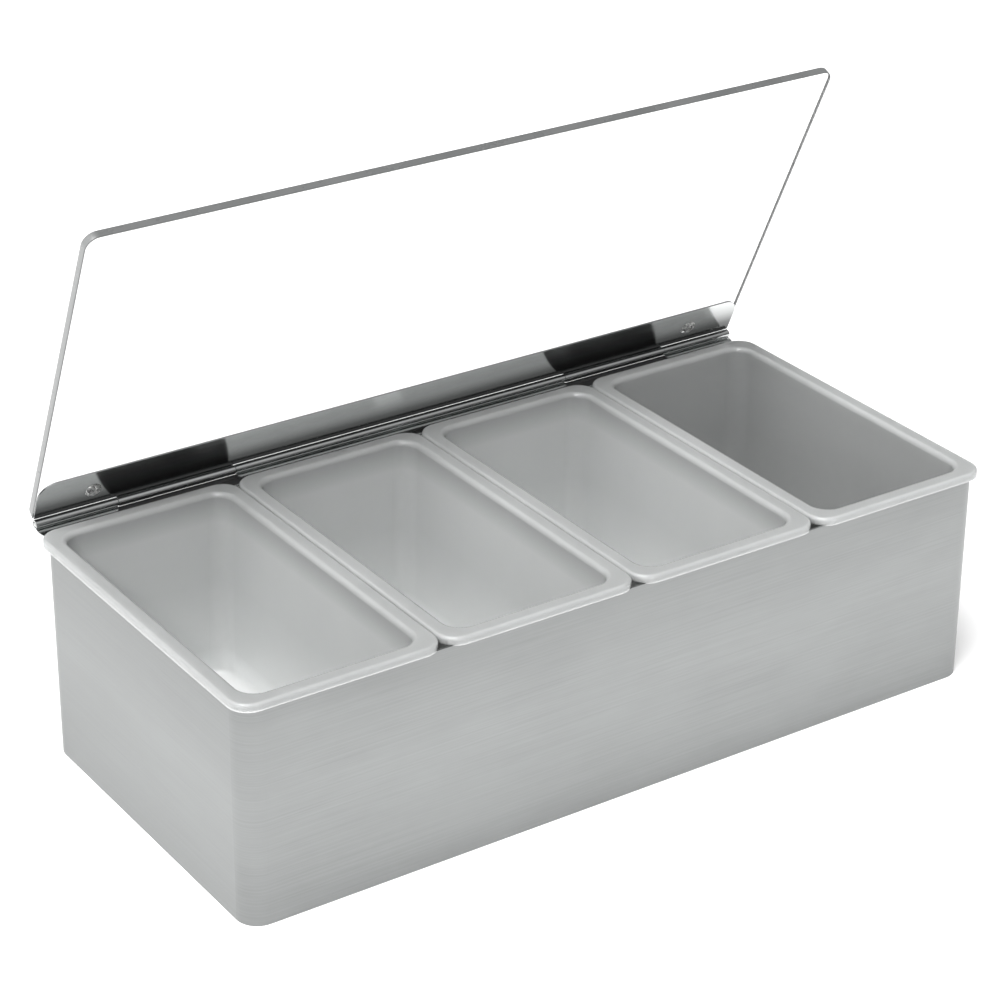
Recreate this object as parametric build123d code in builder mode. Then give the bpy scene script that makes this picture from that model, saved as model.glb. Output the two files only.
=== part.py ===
from build123d import *

import os
from math import cos, radians, sin, sqrt, tan

os.makedirs("parts", exist_ok=True)

# Driving dimensions, in millimetres and degrees.
# The origin is the centre of the flat underside. X runs along the length, the back is +Y.

# Steel box
box_length = 300.0
box_width = 136.0
box_height = 80.0
box_corner_radius = 8.0
steel_gauge = 0.8
base_flange_height = 10.0
base_bend_radius = 1.6

# Four plastic pans that hang by their rims on the steel edge
insert_count = 4
insert_ground_gap = 12.0
insert_wall = 1.8
insert_draft = 3.0
insert_corner_radius = 8.5
insert_floor_round = 5.0
rim_overhang = 1.5
rim_gap = 0.4
rim_shelf = 4.5
rim_thickness = 2.8
rim_corner_radius = 7.5
rim_edge_round = 1.1
mouth_round = 1.8

# Hinge behind the back wall
hinge_setback = 8.0
leaf_end_inset = 1.5
leaf_gauge = 0.6
leaf_flange_height = 14.0
leaf_flange_margin = 1.5
ledge_corner_radius = 6.0
ledge_rim_gap = 0.5
pin_radius = 1.0
pin_clearance = 0.05
pin_chamfer = 0.3
curl_gap = 0.4
lid_knuckle_length = 46.0
lid_knuckle_inset = 54.5
knuckle_end_gap = 0.3
notch_web = 1.6
notch_flare = 2.8

# Clear lid, standing open and leaning forward past upright
lid_end_margin = 0.5
lid_front_gap = 12.0
lid_thickness = 3.0
lid_lean = 24.5
lid_corner_radius = 5.0
lid_foot_radius = 2.0
lid_edge_round = 0.4
lid_foot_lift = 1.6
lid_rim_gap = 0.75
strip_reach = 17.9
strip_corner_radius = 6.5
strip_relief = 0.3

# Rivets that hold the lid to its strip
rivet_inset = 21.5
rivet_lift = 8.3
rivet_shank_radius = 1.5
rivet_hole_clearance = 0.05
rivet_head_radius = 2.8
rivet_head_height = 1.1
clinch_radius = 2.1
clinch_height = 0.5
clinch_edge_round = 0.25
clinch_bore_radius = 0.8
clinch_bore_depth = 1.2
clinch_slit_width = 0.35
clinch_slit_count = 3

# Extra length of a cutter past the face it opens
cut_overrun = 2.0

# Sizes that follow
inner_length = box_length - 2 * steel_gauge
inner_width = box_width - 2 * steel_gauge
inner_corner_radius = box_corner_radius - steel_gauge
back_wall = box_width / 2
insert_depth = box_height - insert_ground_gap
pin_bore_radius = pin_radius + pin_clearance
knuckle_radius = pin_bore_radius + leaf_gauge
hinge_y = back_wall + hinge_setback
hinge_z = box_height + rim_thickness + lid_rim_gap - pin_bore_radius
leaf_length = box_length - 2 * leaf_end_inset
lid_knuckle_spacing = leaf_length - 2 * lid_knuckle_inset
lid_length = leaf_length + 2 * lid_end_margin
lid_reach = hinge_setback + box_width + rim_overhang - lid_front_gap
rivet_spacing = leaf_length - 2 * rivet_inset
rivet_hole_radius = rivet_shank_radius + rivet_hole_clearance

# Planes of the open lid: on its inner side local Y climbs the lid and Z leaves its inner face,
# and across it local X climbs the lid and Y leaves its inner face
lean_sine = sin(radians(lid_lean))
lean_cosine = cos(radians(lid_lean))
lid_plane = Plane(
    origin=(0, hinge_y, hinge_z), x_dir=(1, 0, 0), z_dir=(0, -lean_cosine, -lean_sine)
)


def lid_section(x):
    """Plane across the lid at x, centred on the hinge pin."""
    return Plane(origin=(x, hinge_y, hinge_z), x_dir=(0, -lean_sine, lean_cosine), z_dir=(1, 0, 0))


def save(builder, name):
    """Label a finished piece and write it to its own file."""
    builder.part.label = name
    export_step(builder.part, f"parts/{name}.step")


# Box wall: one steel band bent round the four corners
with BuildPart() as box_wall:
    with BuildSketch():
        RectangleRounded(box_length, box_width, box_corner_radius)
        RectangleRounded(inner_length, inner_width, inner_corner_radius, mode=Mode.SUBTRACT)
    extrude(amount=box_height)
save(box_wall, "box_wall")

# Box base: a shallow pan whose flange stands inside the band
with BuildPart() as box_base:
    with BuildSketch():
        RectangleRounded(inner_length, inner_width, inner_corner_radius)
    extrude(amount=base_flange_height)
    fillet(box_base.faces().sort_by(Axis.Z)[0].edges(), base_bend_radius)
    with BuildSketch(Plane.XY.offset(steel_gauge)):
        RectangleRounded(
            inner_length - 2 * steel_gauge,
            inner_width - 2 * steel_gauge,
            inner_corner_radius - steel_gauge,
        )
    extrude(amount=base_flange_height, mode=Mode.SUBTRACT)
    pan_floor = box_base.faces().filter_by(Axis.Z).sort_by(Axis.Z)[1]
    fillet(pan_floor.edges(), base_bend_radius - steel_gauge)
save(box_base, "box_base")

# Pans: a tapered tub under a flat rim, four alike
rim_field_length = box_length + 2 * rim_overhang
rim_length = (rim_field_length - (insert_count - 1) * rim_gap) / insert_count
rim_width = box_width + 2 * rim_overhang
tub_length = rim_length - 2 * rim_shelf
tub_width = rim_width - 2 * rim_shelf
floor_inset = insert_depth * tan(radians(insert_draft))
mouth_flare = rim_thickness * tan(radians(insert_draft))
cavity_corner_radius = insert_corner_radius - insert_wall
cavity_inset = (insert_depth - insert_wall) * tan(radians(insert_draft))
first_insert_x = -(rim_field_length - rim_length) / 2
insert_pitch = rim_length + rim_gap

for number in range(1, insert_count + 1):
    insert_x = first_insert_x + (number - 1) * insert_pitch
    rim_seat = Plane(origin=(insert_x, 0, box_height))
    with BuildPart() as insert:
        with BuildSketch(rim_seat):
            RectangleRounded(tub_length, tub_width, insert_corner_radius)
        with BuildSketch(rim_seat.offset(-insert_depth)):
            RectangleRounded(
                tub_length - 2 * floor_inset, tub_width - 2 * floor_inset, insert_corner_radius
            )
        loft(ruled=True)
        fillet(insert.faces().sort_by(Axis.Z)[0].edges(), insert_floor_round)
        with BuildSketch(rim_seat):
            RectangleRounded(rim_length, rim_width, rim_corner_radius)
        extrude(amount=rim_thickness)
        fillet(insert.faces().sort_by(Axis.Z)[-1].edges(), rim_edge_round)
        with BuildSketch(rim_seat.offset(rim_thickness)):
            RectangleRounded(
                tub_length - 2 * insert_wall + 2 * mouth_flare,
                tub_width - 2 * insert_wall + 2 * mouth_flare,
                cavity_corner_radius,
            )
        with BuildSketch(rim_seat.offset(insert_wall - insert_depth)):
            RectangleRounded(
                tub_length - 2 * insert_wall - 2 * cavity_inset,
                tub_width - 2 * insert_wall - 2 * cavity_inset,
                cavity_corner_radius,
            )
        loft(ruled=True, mode=Mode.SUBTRACT)
        tub_floor = insert.faces().filter_by(Axis.Z).sort_by(Axis.Z)[1]
        fillet(tub_floor.edges(), insert_floor_round - insert_wall)
        rim_top = insert.faces().sort_by(Axis.Z)[-1]
        fillet(rim_top.inner_wires().edges(), mouth_round)
    save(insert, f"insert_{number}")

# Rear hinge leaf: a flange on the back wall, a ledge that climbs past the rims, and a curl
# round the pin, with two notches that let the knuckles of the lid strip reach it
notch_half = lid_knuckle_length / 2 + knuckle_end_gap
notch_mouth_y = hinge_y - knuckle_radius - knuckle_end_gap
notch_end_y = back_wall + notch_web
curl_back_y = hinge_y + knuckle_radius + cut_overrun
ramp_y = back_wall + rim_overhang + ledge_rim_gap
notch_height = hinge_z + knuckle_radius + cut_overrun - box_height
flange_length = box_length - 2 * box_corner_radius - 2 * leaf_flange_margin

with BuildPart() as rear_hinge_leaf:
    with BuildSketch(Plane.YZ):
        Polygon(
            (back_wall, box_height - leaf_gauge),
            (ramp_y, box_height - leaf_gauge),
            (hinge_y, hinge_z - knuckle_radius),
            (hinge_y, hinge_z - pin_bore_radius),
            (ramp_y, box_height),
            (back_wall, box_height),
            align=None,
        )
        with Locations((hinge_y, hinge_z)):
            Circle(knuckle_radius)
            Circle(pin_bore_radius, mode=Mode.SUBTRACT)
        with Locations((hinge_y, hinge_z - pin_bore_radius)):
            Rectangle(
                knuckle_radius, curl_gap, align=(Align.MAX, Align.MIN), mode=Mode.SUBTRACT
            )
    extrude(amount=leaf_length / 2, both=True)
    with BuildSketch(Plane.XY.offset(box_height - leaf_flange_height)):
        with Locations((0, back_wall)):
            outline = Rectangle(
                leaf_length, curl_back_y - back_wall, align=(Align.CENTER, Align.MIN)
            )
        fillet(outline.vertices().group_by(Axis.Y)[0], ledge_corner_radius)
    extrude(amount=leaf_flange_height + notch_height, mode=Mode.INTERSECT)
    with BuildSketch(Plane.YZ):
        with Locations((back_wall, box_height)):
            Rectangle(leaf_gauge, leaf_flange_height, align=(Align.MIN, Align.MAX))
    extrude(amount=flange_length / 2, both=True)
    for side in (-1, 1):
        knuckle_x = side * lid_knuckle_spacing / 2
        with BuildSketch(Plane.XY.offset(box_height - leaf_flange_height)):
            Polygon(
                (knuckle_x - notch_half - notch_flare, notch_end_y),
                (knuckle_x + notch_half + notch_flare, notch_end_y),
                (knuckle_x + notch_half, notch_mouth_y),
                (knuckle_x + notch_half, curl_back_y),
                (knuckle_x - notch_half, curl_back_y),
                (knuckle_x - notch_half, notch_mouth_y),
                align=None,
            )
        extrude(amount=leaf_flange_height + notch_height, mode=Mode.SUBTRACT)
save(rear_hinge_leaf, "rear_hinge_leaf")

# Hinge pin: a plain rod through all the knuckles
with BuildPart() as hinge_pin:
    with BuildSketch(Plane.YZ):
        with Locations((hinge_y, hinge_z)):
            Circle(pin_radius)
    extrude(amount=leaf_length / 2, both=True)
    chamfer(hinge_pin.faces().filter_by(Axis.X).edges(), pin_chamfer)
save(hinge_pin, "hinge_pin")

# Lid strip: flat on the lid's inner face, with two knuckles curled round the pin
strip_foot = sqrt((knuckle_radius + strip_relief) ** 2 - pin_bore_radius**2)

with BuildPart() as lid_hinge_leaf:
    with BuildSketch(lid_plane.offset(-knuckle_radius)):
        with Locations((0, strip_foot)):
            strip = Rectangle(
                leaf_length, strip_reach - strip_foot, align=(Align.CENTER, Align.MIN)
            )
        fillet(strip.vertices().group_by(Axis.Y)[-1], strip_corner_radius)
        with Locations((-rivet_spacing / 2, rivet_lift), (rivet_spacing / 2, rivet_lift)):
            Circle(rivet_hole_radius, mode=Mode.SUBTRACT)
    extrude(amount=leaf_gauge)
    for side in (-1, 1):
        with BuildSketch(lid_section(side * lid_knuckle_spacing / 2)):
            with Locations((0, -knuckle_radius)):
                Rectangle(strip_foot, leaf_gauge, align=(Align.MIN, Align.MIN))
            Circle(knuckle_radius)
            Circle(pin_bore_radius, mode=Mode.SUBTRACT)
            with Locations((0, -pin_bore_radius)):
                Rectangle(
                    knuckle_radius, curl_gap, align=(Align.MIN, Align.MIN), mode=Mode.SUBTRACT
                )
        extrude(amount=lid_knuckle_length / 2, both=True)
save(lid_hinge_leaf, "lid_hinge_leaf")

# Lid: one clear flat sheet behind the strip
with BuildPart() as lid_panel:
    with BuildSketch(lid_plane.offset(-knuckle_radius)):
        with Locations((0, lid_foot_lift)):
            sheet = Rectangle(
                lid_length, lid_reach - lid_foot_lift, align=(Align.CENTER, Align.MIN)
            )
        fillet(sheet.vertices().group_by(Axis.Y)[-1], lid_corner_radius)
        fillet(sheet.vertices().group_by(Axis.Y)[0], lid_foot_radius)
    extrude(amount=-lid_thickness)
    sheet_faces = lid_panel.faces().filter_by(lid_plane)
    fillet(sheet_faces.edges(), lid_edge_round)
    with BuildSketch(lid_plane.offset(cut_overrun - knuckle_radius)):
        with Locations((-rivet_spacing / 2, rivet_lift), (rivet_spacing / 2, rivet_lift)):
            Circle(rivet_hole_radius)
    extrude(amount=-lid_thickness - 2 * cut_overrun, mode=Mode.SUBTRACT)
save(lid_panel, "lid_panel")

# Rivets: a domed head behind the lid, a shank, and an end split and spread over the strip
strip_face = lid_plane.offset(-pin_bore_radius)
lid_back = lid_plane.offset(-knuckle_radius - lid_thickness)

for side, name in ((-1, "lid_rivet_left"), (1, "lid_rivet_right")):
    with BuildPart() as rivet:
        with BuildSketch(lid_back):
            with Locations((side * rivet_spacing / 2, rivet_lift)):
                Circle(rivet_head_radius)
        extrude(amount=-rivet_head_height)
        head_rim = rivet.edges().filter_by(GeomType.CIRCLE).sort_by(Axis.Y)[-1]
        fillet(head_rim, rivet_head_height - clinch_edge_round)
        with BuildSketch(lid_back):
            with Locations((side * rivet_spacing / 2, rivet_lift)):
                Circle(rivet_shank_radius)
        extrude(amount=lid_thickness + leaf_gauge)
        with BuildSketch(strip_face):
            with Locations((side * rivet_spacing / 2, rivet_lift)):
                Circle(clinch_radius)
        extrude(amount=clinch_height)
        clinch_rim = rivet.edges().filter_by(GeomType.CIRCLE).sort_by(Axis.Y)[0]
        fillet(clinch_rim, clinch_edge_round)
        with BuildSketch(strip_face.offset(clinch_height)):
            with Locations((side * rivet_spacing / 2, rivet_lift)):
                Circle(clinch_bore_radius)
        extrude(amount=-clinch_bore_depth, mode=Mode.SUBTRACT)
        with BuildSketch(strip_face.offset(clinch_height)):
            with Locations((side * rivet_spacing / 2, rivet_lift)):
                with PolarLocations(0, clinch_slit_count, angular_range=180):
                    Rectangle(2 * clinch_radius, clinch_slit_width)
        extrude(amount=-clinch_height / 2, mode=Mode.SUBTRACT)
    save(rivet, name)
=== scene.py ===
from math import cos, pi, radians, sin
from random import Random

import bmesh
import bpy
from mathutils import Matrix, Vector


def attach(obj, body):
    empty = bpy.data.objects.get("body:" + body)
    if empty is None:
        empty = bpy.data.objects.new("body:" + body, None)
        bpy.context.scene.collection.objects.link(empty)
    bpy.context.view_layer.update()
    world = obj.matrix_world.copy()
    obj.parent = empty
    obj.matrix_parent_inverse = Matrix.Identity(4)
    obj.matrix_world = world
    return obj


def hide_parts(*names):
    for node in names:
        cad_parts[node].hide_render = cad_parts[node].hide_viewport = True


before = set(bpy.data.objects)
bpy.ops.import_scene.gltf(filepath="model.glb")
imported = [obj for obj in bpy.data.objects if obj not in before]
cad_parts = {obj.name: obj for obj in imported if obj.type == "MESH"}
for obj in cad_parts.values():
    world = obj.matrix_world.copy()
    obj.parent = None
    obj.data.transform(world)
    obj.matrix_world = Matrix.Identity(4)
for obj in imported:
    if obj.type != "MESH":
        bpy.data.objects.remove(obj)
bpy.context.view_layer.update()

# Steel wall: one band of stainless sheet bent round the four corners and welded at the back.
# It is brushed along its length, and handling has left faint hazy patches on it.
# Its colour is painted darker along its foot and just under the rims, as shade.
wall_grain = (14, 14, 1500)
wall_haze = (22, 22, 60)
haze_share = 0.45
wall_dark = (0.26, 0.261, 0.261)
wall_light = (0.33, 0.332, 0.332)
wall_painted_shade_tones = ((0.0, 0.80), (0.02, 0.92), (0.045, 1.0), (0.07, 0.92), (0.08, 0.87))
wall_roughness = (0.30, 0.44)
brushed_pull = 0.6
grain_strength = 0.25
grain_depth = 0.00005
noise_roughness = 0.6
grey_cast = (1.0, 1.02, 1.015)


def start_finish(name):
    """A new material, with its node tree and its shader."""
    finish = bpy.data.materials.new(name)
    finish.use_nodes = True
    surface = finish.node_tree.nodes["Principled BSDF"]
    return finish, finish.node_tree, surface


def streaks(tree, stretch, detail):
    """Noise drawn out along the directions where stretch is small."""
    place = tree.nodes.new("ShaderNodeTexCoord")
    scale = tree.nodes.new("ShaderNodeMapping")
    scale.inputs["Scale"].default_value = stretch
    noise = tree.nodes.new("ShaderNodeTexNoise")
    noise.inputs["Scale"].default_value = 1.0
    noise.inputs["Detail"].default_value = detail
    noise.inputs["Roughness"].default_value = noise_roughness
    tree.links.new(place.outputs["Object"], scale.inputs["Vector"])
    tree.links.new(scale.outputs["Vector"], noise.inputs["Vector"])
    return noise.outputs["Fac"]


def spread(tree, value, low, high, start=0.3, end=0.7):
    """Stretch a value that runs from start to end, as noise mostly does, onto low to high."""
    remap = tree.nodes.new("ShaderNodeMapRange")
    remap.inputs["From Min"].default_value = start
    remap.inputs["From Max"].default_value = end
    remap.inputs["To Min"].default_value = low
    remap.inputs["To Max"].default_value = high
    tree.links.new(value, remap.inputs["Value"])
    return remap.outputs["Result"]


def tint(tree, value, dark, light):
    """Mix two colours by a value from 0 to 1."""
    mix = tree.nodes.new("ShaderNodeMix")
    mix.data_type = "RGBA"
    mix.inputs["A"].default_value = (*dark, 1)
    mix.inputs["B"].default_value = (*light, 1)
    tree.links.new(value, mix.inputs["Factor"])
    return mix.outputs["Result"]


def by_height(tree, stops):
    """Grey tone by height above the floor, from pairs of height and tone, lowest first."""
    place = tree.nodes.new("ShaderNodeTexCoord")
    parted = tree.nodes.new("ShaderNodeSeparateXYZ")
    tree.links.new(place.outputs["Object"], parted.inputs["Vector"])
    lowest, highest = stops[0][0], stops[-1][0]
    ramp = tree.nodes.new("ShaderNodeValToRGB")
    marks = ramp.color_ramp.elements
    ready = len(marks)
    for number, (height, tone) in enumerate(stops):
        share = (height - lowest) / (highest - lowest)
        mark = marks[number] if number < ready else marks.new(share)
        mark.position = share
        mark.color = (*(tone * cast for cast in grey_cast), 1)
    climb = spread(tree, parted.outputs["Z"], 0, 1, start=lowest, end=highest)
    tree.links.new(climb, ramp.inputs["Fac"])
    return ramp.outputs["Color"]


def shaded(tree, first, second):
    """Multiply two colours."""
    mix = tree.nodes.new("ShaderNodeMix")
    mix.data_type = "RGBA"
    mix.blend_type = "MULTIPLY"
    mix.inputs["Factor"].default_value = 1.0
    tree.links.new(first, mix.inputs["A"])
    tree.links.new(second, mix.inputs["B"])
    return mix.outputs["Result"]


def together(tree, first, second, weight):
    """Average two values, weight being the share of the second."""
    mix = tree.nodes.new("ShaderNodeMix")
    mix.inputs["Factor"].default_value = weight
    tree.links.new(first, mix.inputs["A"])
    tree.links.new(second, mix.inputs["B"])
    return mix.outputs["Result"]


def emboss(tree, surface, height, strength, depth):
    """Give the surface a fine relief."""
    bump = tree.nodes.new("ShaderNodeBump")
    bump.inputs["Strength"].default_value = strength
    bump.inputs["Distance"].default_value = depth
    tree.links.new(height, bump.inputs["Height"])
    tree.links.new(bump.outputs["Normal"], surface.inputs["Normal"])


def dress(node, finish):
    """Give a CAD piece its finish."""
    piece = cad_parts[node]
    piece.data.materials.clear()
    piece.data.materials.append(finish)


brushed_steel, tree, surface = start_finish("brushed_stainless")
grain = streaks(tree, wall_grain, detail=6.0)
haze = streaks(tree, wall_haze, detail=3.0)
mottle = together(tree, grain, haze, haze_share)
cloudy = tint(tree, spread(tree, mottle, 0.0, 1.0), wall_dark, wall_light)
# The tones by height paint shade along the wall's foot and under the rims.
toned = shaded(tree, cloudy, by_height(tree, wall_painted_shade_tones))
tree.links.new(toned, surface.inputs["Base Color"])
tree.links.new(spread(tree, mottle, *wall_roughness), surface.inputs["Roughness"])
surface.inputs["Metallic"].default_value = 1.0
surface.inputs["Anisotropic"].default_value = brushed_pull
along_wall = tree.nodes.new("ShaderNodeTangent")
along_wall.direction_type = "RADIAL"
along_wall.axis = "Z"
tree.links.new(along_wall.outputs["Tangent"], surface.inputs["Tangent"])
emboss(tree, surface, grain, grain_strength, grain_depth)
dress("box_wall", brushed_steel)

# Steel base: a shallow pan pressed from the same sheet, its flange spot welded inside the wall.
# It keeps the dull rolled finish of the sheet.
rolled_cloud = (40, 40, 40)
base_dark = (0.31, 0.32, 0.32)
base_light = (0.38, 0.39, 0.39)
base_roughness = (0.40, 0.55)
rolled_strength = 0.1
rolled_depth = 0.0001

rolled_steel, tree, surface = start_finish("rolled_stainless")
cloud = streaks(tree, rolled_cloud, detail=5.0)
cloudy = tint(tree, spread(tree, cloud, 0.0, 1.0), base_dark, base_light)
tree.links.new(cloudy, surface.inputs["Base Color"])
tree.links.new(spread(tree, cloud, *base_roughness), surface.inputs["Roughness"])
surface.inputs["Metallic"].default_value = 1.0
emboss(tree, surface, cloud, rolled_strength, rolled_depth)
dress("box_base", rolled_steel)

# Pans: moulded milky polypropylene, satin where the mould was, that lets light through its walls.
# They drop into the box and hang by their rims. Their colour is painted lighter in the deep parts
# and darker on the rims, as painted light and shade, and the right pan is painted darker inside, as
# shade.
pan_painted_light_tones = ((0.014, 0.74), (0.024, 0.54), (0.05, 0.47), (0.072, 0.49), (0.081, 0.32))
right_pan_painted_shade_tones = ((0.014, 0.33), (0.024, 0.30), (0.05, 0.30), (0.072, 0.33), (0.081, 0.33))
pan_bloom = (25, 25, 25)
bloom_dark = (0.96, 0.96, 0.96)
bloom_light = (1.0, 1.0, 1.0)
pan_roughness = (0.15, 0.22)
light_reach = 0.007
mould_texture = (1800, 1800, 1800)
texture_strength = 0.05
texture_depth = 0.00005


def moulded(name, tones):
    """A milky plastic whose tones by height paint light and shade on it."""
    finish, tree, surface = start_finish(name)
    bloom = streaks(tree, pan_bloom, detail=3.0)
    texture = streaks(tree, mould_texture, detail=2.0)
    cloudy = tint(tree, spread(tree, bloom, 0.0, 1.0), bloom_dark, bloom_light)
    tree.links.new(shaded(tree, by_height(tree, tones), cloudy), surface.inputs["Base Color"])
    tree.links.new(spread(tree, bloom, *pan_roughness), surface.inputs["Roughness"])
    surface.inputs["Subsurface Weight"].default_value = 1.0
    surface.inputs["Subsurface Radius"].default_value = (1.0, 1.0, 1.0)
    surface.inputs["Subsurface Scale"].default_value = light_reach
    emboss(tree, surface, texture, texture_strength, texture_depth)
    return finish


milky_plastic = moulded("milky_polypropylene", pan_painted_light_tones)
for node in ("insert_1", "insert_2", "insert_3"):
    dress(node, milky_plastic)
# The right pan is the same plastic with darker tones painted in, as shade.
dress("insert_4", moulded("milky_polypropylene_painted_darker", right_pan_painted_shade_tones))

# Rear hinge leaf and pin: stainless strip with a satin polish, spot welded to the back of the wall.
# It climbs past the rims and curls into three knuckles round the rod.
# The tones by height paint the ledge and, less so, the knuckles lighter than the flange below, as
# painted light; the light ledge also brightens its reflection in the strip.
leaf_painted_light_tones = ((0.066, 0.30), (0.0788, 0.32), (0.0795, 0.74), (0.0816, 0.74), (0.0824, 0.52))
leaf_dark = (0.88, 0.88, 0.88)
leaf_light = (1.0, 1.0, 1.0)
leaf_line_strength = 0.03
polish_lines = (10, 900, 900)
polish_cloud = (30, 60, 60)
cloud_share = 0.5
polish_roughness = (0.10, 0.18)
polish_depth = 0.00003


def polish_marks(tree):
    """Fine lines along a strip, and the same lines with soft clouds over them."""
    lines = streaks(tree, polish_lines, detail=3.0)
    cloud = streaks(tree, polish_cloud, detail=3.0)
    return lines, together(tree, lines, cloud, cloud_share)


satin_steel, tree, surface = start_finish("satin_stainless")
lines, polish = polish_marks(tree)
cloudy = tint(tree, spread(tree, polish, 0.0, 1.0), leaf_dark, leaf_light)
tree.links.new(shaded(tree, by_height(tree, leaf_painted_light_tones), cloudy), surface.inputs["Base Color"])
tree.links.new(spread(tree, polish, *polish_roughness), surface.inputs["Roughness"])
surface.inputs["Metallic"].default_value = 1.0
emboss(tree, surface, lines, leaf_line_strength, polish_depth)
for node in ("rear_hinge_leaf", "hinge_pin"):
    dress(node, satin_steel)

# Notch pads: two near-black pads under the ledge of the rear leaf, one below each notch, put there
# as painted shade.
# They close the notches from below, so the notches and their reflections in the strip read dark,
# and they turn up under the knuckles of the lid strip.
pad_centres = (("left", -0.094), ("right", 0.094))
pad_half_length = 0.0272
pad_profile = (
    (0.0686, 0.0782),
    (0.0686, 0.0794),
    (0.0751, 0.0794),
    (0.0758, 0.0805),
    (0.0762, 0.0805),
    (0.0762, 0.0782),
)
pad_edge_round = 0.00025
pad_round_steps = 3
shade_pad_dust = (300, 300, 300)
shade_pad_dark = (0.010, 0.010, 0.011)
shade_pad_light = (0.022, 0.022, 0.023)
shade_pad_roughness = (0.55, 0.75)
dust_strength = 0.3
dust_depth = 0.0001

# The pads' near-black colour is painted shade.
painted_shade_pads, tree, surface = start_finish("painted_shade_black")
dust = streaks(tree, shade_pad_dust, detail=5.0)
dusty = tint(tree, spread(tree, dust, 0.0, 1.0), shade_pad_dark, shade_pad_light)
tree.links.new(dusty, surface.inputs["Base Color"])
tree.links.new(spread(tree, dust, *shade_pad_roughness), surface.inputs["Roughness"])
emboss(tree, surface, dust, dust_strength, dust_depth)


def set_down(name, shape, finishes):
    """Put a finished shape into the scene as a piece of its own."""
    bmesh.ops.recalc_face_normals(shape, faces=shape.faces)
    mesh = bpy.data.meshes.new(name)
    shape.to_mesh(mesh)
    shape.free()
    for finish in finishes:
        mesh.materials.append(finish)
    piece = bpy.data.objects.new(name, mesh)
    bpy.context.scene.collection.objects.link(piece)
    return piece


for side, centre in pad_centres:
    block = bmesh.new()
    ends = [
        [block.verts.new((centre + reach, y, z)) for y, z in pad_profile]
        for reach in (-pad_half_length, pad_half_length)
    ]
    for first in range(len(pad_profile)):
        second = (first + 1) % len(pad_profile)
        block.faces.new((ends[0][first], ends[0][second], ends[1][second], ends[1][first]))
    block.faces.new(ends[1])
    block.faces.new(list(reversed(ends[0])))
    pad = set_down(f"notch_shade_pad_{side}", block, [painted_shade_pads])
    softened = pad.modifiers.new("rounded edges", "BEVEL")
    softened.width = pad_edge_round
    softened.segments = pad_round_steps
    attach(pad, "box")

# Lid strip: polished stainless, nearly a mirror, curled round the rod in two knuckles.
# Rolling has left its face slightly hollow, and polishing has left fine lines along it.
hinge_point = Vector((0, 0.076, 0.0825))
lid_lean = radians(24.5)
up_lid = Vector((0, -sin(lid_lean), cos(lid_lean)))
out_of_lid = Vector((0, -cos(lid_lean), -sin(lid_lean)))
hollow_start = 0.004
hollow_curve = 4.8
# The tones by height paint the strip's front face near black low down and light towards its top, as
# painted shade and painted reflection.
strip_painted_reflection_tones = ((0.0842, 0.56), (0.0850, 0.10), (0.0885, 0.18), (0.0935, 0.56), (0.0990, 0.88))
strip_back = (0.50, 0.51, 0.51)
strip_dark = (0.92, 0.92, 0.92)
strip_light = (1.0, 1.0, 1.0)
strip_line_strength = 0.08


def along(tree, vector, direction):
    """How far a vector reaches in a direction."""
    product = tree.nodes.new("ShaderNodeVectorMath")
    product.operation = "DOT_PRODUCT"
    product.inputs[1].default_value = direction
    tree.links.new(vector, product.inputs[0])
    return product.outputs["Value"]


strip_steel, tree, surface = start_finish("polished_stainless")
place = tree.nodes.new("ShaderNodeTexCoord")
lines, polish = polish_marks(tree)
cloudy = tint(tree, spread(tree, polish, 0.0, 1.0), strip_dark, strip_light)
front = along(tree, place.outputs["Normal"], out_of_lid)
# Only the front face gets the painted tones; the back face keeps one plain tone.
graded = tree.nodes.new("ShaderNodeMix")
graded.data_type = "RGBA"
graded.inputs["A"].default_value = (*strip_back, 1)
tree.links.new(spread(tree, front, 0, 1), graded.inputs["Factor"])
tree.links.new(by_height(tree, strip_painted_reflection_tones), graded.inputs["B"])
tree.links.new(shaded(tree, graded.outputs["Result"], cloudy), surface.inputs["Base Color"])
tree.links.new(spread(tree, polish, *polish_roughness), surface.inputs["Roughness"])
surface.inputs["Metallic"].default_value = 1.0
emboss(tree, surface, lines, strip_line_strength, polish_depth)

# The hollow is a relief that grows with the square of the way up the lid.
climb = along(tree, place.outputs["Object"], up_lid)
past = tree.nodes.new("ShaderNodeMath")
past.operation = "SUBTRACT"
past.inputs[1].default_value = up_lid.dot(hinge_point) + hollow_start
tree.links.new(climb, past.inputs[0])
above = tree.nodes.new("ShaderNodeMath")
above.operation = "MAXIMUM"
above.inputs[1].default_value = 0.0
tree.links.new(past.outputs["Value"], above.inputs[0])
squared = tree.nodes.new("ShaderNodeMath")
squared.operation = "MULTIPLY"
tree.links.new(above.outputs["Value"], squared.inputs[0])
tree.links.new(above.outputs["Value"], squared.inputs[1])
hollow = tree.nodes.new("ShaderNodeBump")
hollow.inputs["Strength"].default_value = 1.0
hollow.inputs["Distance"].default_value = hollow_curve
tree.links.new(squared.outputs["Value"], hollow.inputs["Height"])
tree.links.new(surface.inputs["Normal"].links[0].from_socket, hollow.inputs["Normal"])
tree.links.new(hollow.outputs["Normal"], surface.inputs["Normal"])
dress("lid_hinge_leaf", strip_steel)

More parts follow.
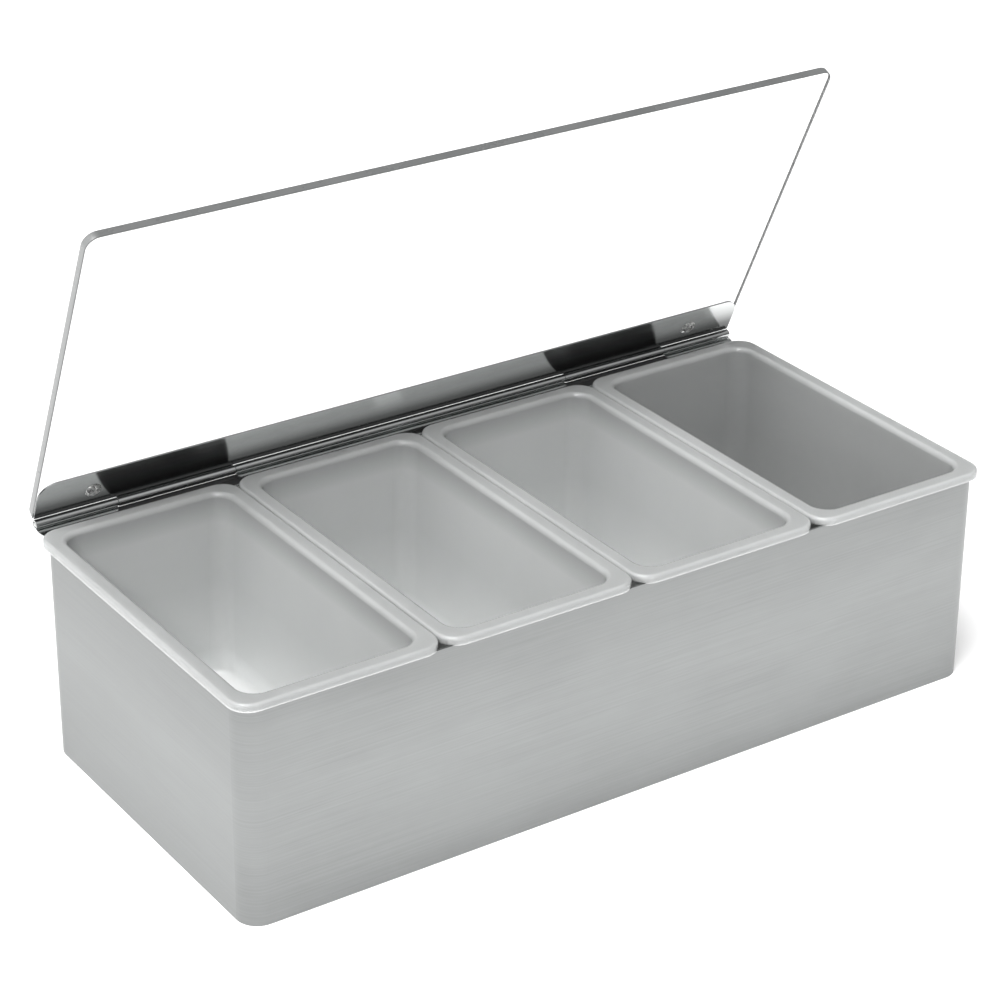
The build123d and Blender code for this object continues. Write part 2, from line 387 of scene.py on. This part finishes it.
# Lid: a clear cast sheet with round corners, two drilled holes and edges painted grey, as shade.
# It lies flat behind the hinge strip, and its foot is sawn at a slant.
sheet_half = 0.149
sheet_foot = 0.0004
foot_slant = 0.0014
sheet_head = 0.1335
sheet_front = -0.00165
sheet_thickness = 0.003
head_corner = 0.005
foot_corner = 0.002
corner_steps = 10
edge_round = 0.0004
round_steps = 5
hole_places = (-0.127, 0.127)
hole_lift = 0.0083
hole_radius = 0.00155
hole_steps = 24
face_finish = 0
edge_finish = 1
sheet_refraction = 1.49
sheet_smears = (18, 18, 18)
smear_dark = (0.985, 0.99, 0.99)
smear_light = (1.0, 1.0, 1.0)
smear_roughness = (0.0, 0.02)
edge_rubs = (60, 60, 60)
painted_end_light_share = 0.85
sheet_edge_painted_shade = (0.10, 0.103, 0.103)
sheet_edge_painted_light = (0.25, 0.255, 0.255)
edge_roughness = (0.2, 0.4)

clear_sheet, tree, surface = start_finish("clear_sheet")
smears = streaks(tree, sheet_smears, detail=2.0)
smeared = tint(tree, spread(tree, smears, 0.0, 1.0), smear_dark, smear_light)
tree.links.new(smeared, surface.inputs["Base Color"])
tree.links.new(spread(tree, smears, *smear_roughness), surface.inputs["Roughness"])
surface.inputs["IOR"].default_value = sheet_refraction
surface.inputs["Transmission Weight"].default_value = 1.0

# The edges at the lid's two ends are painted lighter than the long ones, as painted light; the
# noise adds random rubbing marks.
painted_edge_finish, tree, surface = start_finish("painted_sheet_edge")
rubs = streaks(tree, edge_rubs, detail=4.0)
place = tree.nodes.new("ShaderNodeTexCoord")
facing = tree.nodes.new("ShaderNodeVectorMath")
facing.operation = "ABSOLUTE"
parted = tree.nodes.new("ShaderNodeSeparateXYZ")
tree.links.new(place.outputs["Normal"], facing.inputs[0])
tree.links.new(facing.outputs["Vector"], parted.inputs["Vector"])
rubs_and_painted_light = together(tree, spread(tree, rubs, 0.0, 1.0), parted.outputs["X"], painted_end_light_share)
tree.links.new(tint(tree, rubs_and_painted_light, sheet_edge_painted_shade, sheet_edge_painted_light), surface.inputs["Base Color"])
tree.links.new(spread(tree, rubs, *edge_roughness), surface.inputs["Roughness"])
surface.inputs["IOR"].default_value = sheet_refraction


def on_lid(across, up, out):
    """A point on the lid, measured from the middle of the hinge line."""
    return hinge_point + Vector((across, 0, 0)) + up_lid * up + out_of_lid * out


def sheet_outline(inset, depth):
    """Points round the sheet at a depth, inset from its edge, as pairs across and up the lid.

    Each corner turns a quarter, from a start that is given in half turns."""
    foot = sheet_foot + foot_slant * depth / sheet_thickness
    places = []
    for across, up, radius, start in (
        (sheet_half, foot, foot_corner, -0.5),
        (sheet_half, sheet_head, head_corner, 0.0),
        (-sheet_half, sheet_head, head_corner, 0.5),
        (-sheet_half, foot, foot_corner, 1.0),
    ):
        centre_across = across - radius if across > 0 else across + radius
        centre_up = up - radius if up == sheet_head else up + radius
        for step in range(corner_steps + 1):
            turn = pi * (start + 0.5 * step / corner_steps)
            places.append((
                centre_across + (radius - inset) * cos(turn),
                centre_up + (radius - inset) * sin(turn),
            ))
    return places


sheet = bmesh.new()


def add_ring(places, out):
    """Corners of the sheet round a closed line, given as pairs across and up the lid."""
    return [sheet.verts.new(on_lid(across, up, out)) for across, up in places]


def pairs_round(ring):
    """Each corner of a ring with the next one."""
    return zip(ring, ring[1:] + ring[:1])


def join_rings(first, second):
    """A band of edge faces between two rings."""
    for (near, near_next), (far, far_next) in zip(pairs_round(first), pairs_round(second)):
        face = sheet.faces.new((near, near_next, far_next, far))
        face.smooth = True
        face.material_index = edge_finish


def ring_edges(ring):
    """The edges of a ring, made where they are missing."""
    return [sheet.edges.get(pair) or sheet.edges.new(pair) for pair in pairs_round(ring)]


edge_profile = []
for step in range(round_steps + 1):
    turn = pi / 2 * step / round_steps
    edge_profile.append((edge_round * (1 - sin(turn)), edge_round * (1 - cos(turn))))
edge_profile += [(inset, sheet_thickness - depth) for inset, depth in reversed(edge_profile)]
rings = [
    add_ring(sheet_outline(inset, depth), sheet_front - depth) for inset, depth in edge_profile
]
for first, second in zip(rings, rings[1:]):
    join_rings(first, second)

hole_rings = []
for across in hole_places:
    circle = []
    for step in range(hole_steps):
        turn = 2 * pi * step / hole_steps
        circle.append((across + hole_radius * cos(turn), hole_lift + hole_radius * sin(turn)))
    hole_front = add_ring(circle, sheet_front)
    hole_back = add_ring(circle, sheet_front - sheet_thickness)
    join_rings(hole_front, hole_back)
    hole_rings.append((hole_front, hole_back))

for side, ring in ((0, rings[0]), (1, rings[-1])):
    edges = ring_edges(ring)
    for pair in hole_rings:
        edges += ring_edges(pair[side])
    filled = bmesh.ops.triangle_fill(sheet, edges=edges, use_beauty=True)
    for face in filled["geom"]:
        if isinstance(face, bmesh.types.BMFace):
            face.material_index = face_finish
            face.smooth = False
lid_sheet = set_down("clear_lid_sheet", sheet, [clear_sheet, painted_edge_finish])
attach(lid_sheet, "lid")
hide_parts("lid_panel")

# Rivets: soft aluminium, headed behind the lid and split over the strip in front.
# The tool that set them left the ends rough.
rivet_dents = (900, 900, 900)
rivet_painted_dent_shade = (0.04, 0.04, 0.04)
rivet_light = (0.80, 0.80, 0.79)
rivet_roughness = (0.18, 0.45)
dent_strength = 0.6
dent_depth = 0.0003

rivet_metal, tree, surface = start_finish("set_aluminium")
# The colour is painted dark in the fine dents, as shade; the raised parts keep the metal's own
# tone.
dents = streaks(tree, rivet_dents, detail=3.0)
dented = tint(tree, spread(tree, dents, 0.0, 1.0), rivet_painted_dent_shade, rivet_light)
tree.links.new(dented, surface.inputs["Base Color"])
tree.links.new(spread(tree, dents, *rivet_roughness), surface.inputs["Roughness"])
surface.inputs["Metallic"].default_value = 1.0
emboss(tree, surface, dents, dent_strength, dent_depth)
for node in ("lid_rivet_left", "lid_rivet_right"):
    dress(node, rivet_metal)

# Rivet ends: the split tips of the rivets, hammered out over the strip into rough round burrs.
# They are the same soft aluminium, bright on the blows, with shade painted dark into the dents
# between them.
burr_radius = 0.0031
burr_hole = 0.0009
burr_height = 0.00055
burr_lift = 0.0088
burr_seat = 0.00105
burr_steps = 36
burr_rings = 6
ragged_share = 0.05
dented_share = 0.5
deepest_dent = -1
highest_blow = 0.6
burr_dents = Random(7)

for side, across in zip(("left", "right"), hole_places):
    burr = bmesh.new()
    circles = []
    for ring in range(burr_rings + 1):
        share = ring / burr_rings
        circle = []
        for step in range(burr_steps):
            turn = 2 * pi * step / burr_steps
            radius = burr_hole + (burr_radius - burr_hole) * share
            if ring:
                radius *= 1 + ragged_share * burr_dents.uniform(-1, 1)
            rise = burr_height * (1 - share**4)
            rise *= 1 + dented_share * burr_dents.uniform(deepest_dent, highest_blow)
            place = on_lid(
                across + radius * cos(turn), burr_lift + radius * sin(turn), rise - burr_seat
            )
            circle.append(burr.verts.new(place))
        circles.append(circle)
    for inner, outer in zip(circles, circles[1:]):
        for step in range(burr_steps):
            after = (step + 1) % burr_steps
            burr.faces.new((inner[step], outer[step], outer[after], inner[after]))
    burr.faces.new(circles[0])
    burr.faces.new(list(reversed(circles[-1])))
    burr_piece = set_down(f"rivet_burr_{side}", burr, [rivet_metal])
    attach(burr_piece, "lid")

# Floor: a plain pale sheet that the tray stands on.
# It is matt and reaches far past the picture on every side.
floor_size = 6.0
floor_grey = (0.92, 0.92, 0.92, 1)
floor_roughness = 0.9

bpy.ops.mesh.primitive_plane_add(size=floor_size)
floor = bpy.context.object
floor.name = "floor"
pale_floor, tree, surface = start_finish("pale_floor")
surface.inputs["Base Color"].default_value = floor_grey
surface.inputs["Roughness"].default_value = floor_roughness
floor.data.materials.append(pale_floor)

# Light: a dim soft room, brighter towards the front left, with one broad lamp high at the left.
# A small weak lamp near the camera gives the faint bright spots in the pans.
room_bright_side = (-0.40, -0.28, 0.87)
room_strength = (0.04, 1.1)
room_dark_until = 0.1
room_bright_from = 0.95
room_white = (1, 1, 1, 1)

room = bpy.data.worlds.new("soft_room")
bpy.context.scene.world = room
room.use_nodes = True
tree = room.node_tree
sky = tree.nodes.new("ShaderNodeTexCoord")
towards = along(tree, sky.outputs["Generated"], room_bright_side)
glow = spread(tree, towards, *room_strength, start=room_dark_until, end=room_bright_from)
tree.links.new(glow, tree.nodes["Background"].inputs["Strength"])
tree.nodes["Background"].inputs["Color"].default_value = room_white


def towards_stand(azimuth, height_angle):
    """Direction from the tray to a lamp or camera, from two angles in radians."""
    return Vector((
        sin(azimuth) * cos(height_angle),
        -cos(azimuth) * cos(height_angle),
        sin(height_angle),
    ))


def shine(name, azimuth, height_angle, width_angle, energy):
    """A far lamp that shines from an azimuth and height angle, in degrees."""
    light = bpy.data.lights.new(name, "SUN")
    light.energy = energy
    light.angle = radians(width_angle)
    stand = bpy.data.objects.new(name, light)
    source = towards_stand(radians(azimuth), radians(height_angle))
    stand.location = source
    stand.rotation_euler = source.to_track_quat("Z", "Y").to_euler()
    bpy.context.scene.collection.objects.link(stand)


shine("broad_lamp", azimuth=-64, height_angle=63, width_angle=40, energy=4.0)
shine("small_lamp", azimuth=-36, height_angle=32, width_angle=3, energy=0.35)

# Camera: at the photograph's place, front left and above, with no shift.
# Its angles, distance and lens come from a fit to the photograph's straight edges.
eye_azimuth = radians(-34.186)
eye_height_angle = radians(26.7764)
eye_roll = radians(0.4633)
eye_distance = 1.15
aim_point = Vector((0.044896, 0.079527, 0.037039))
film_width = 36.0
focal_share = 3.0333452

eye = bpy.data.cameras.new("eye")
eye.sensor_width = film_width
eye.lens = film_width * focal_share
camera = bpy.data.objects.new("eye", eye)
back = towards_stand(eye_azimuth, eye_height_angle)
turned = back.to_track_quat("Z", "Y").to_matrix() @ Matrix.Rotation(eye_roll, 3, "Z")
camera.matrix_world = Matrix.Translation(aim_point + back * eye_distance) @ turned.to_4x4()
bpy.context.scene.collection.objects.link(camera)
bpy.context.scene.camera = camera
bpy.context.scene.view_settings.view_transform = "Standard"
